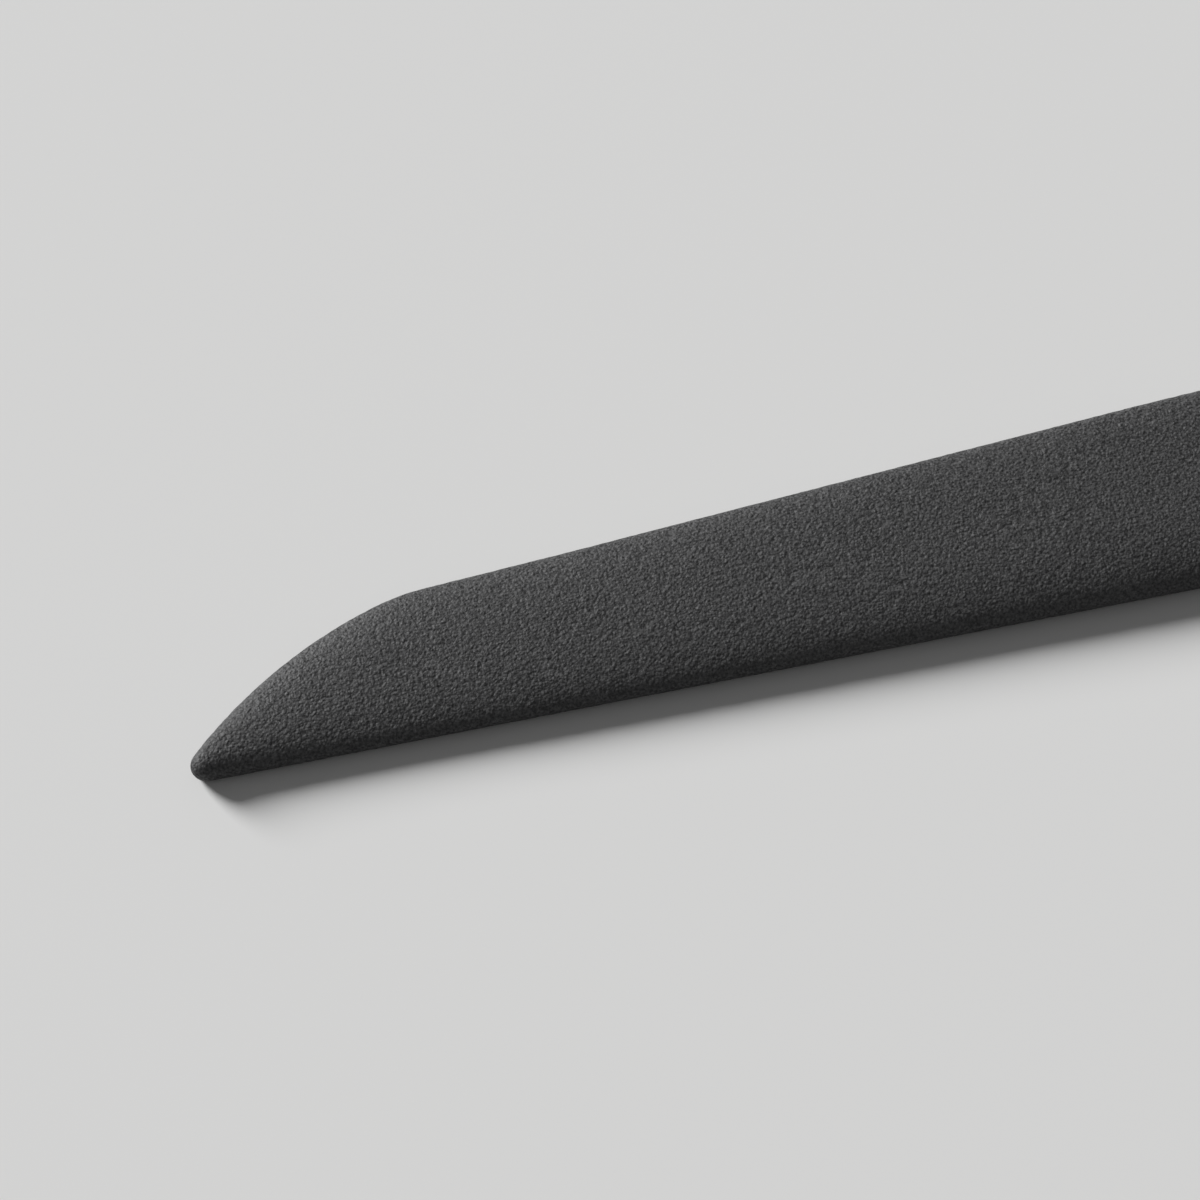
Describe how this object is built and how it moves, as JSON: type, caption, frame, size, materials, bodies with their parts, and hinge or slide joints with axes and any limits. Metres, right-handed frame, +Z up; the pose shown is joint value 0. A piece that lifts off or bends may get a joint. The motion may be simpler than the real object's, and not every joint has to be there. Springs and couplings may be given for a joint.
{
  "type": "bone folder",
  "caption": "Slim tapered hand tool for creasing and smoothing paper: crowned face, flat back, a straight edge, an opposite edge swept round to a blunt point, and a rounded butt.",
  "frame": {"origin": "centre of the outline's bounding box, on the flat back", "axes": "+X along the blade from the working point to the butt, +Y from the straight creasing edge to the swept edge, +Z up out of the crowned face"},
  "size_m": [0.155, 0.0235, 0.0045],
  "materials": {
    "textured_body": "neutral near-black with a fine, even, sandy grain all over, dry and matt"
  },
  "bodies": {
    "root": {"folder_blade": "textured_body"}
  },
  "joints": []
}
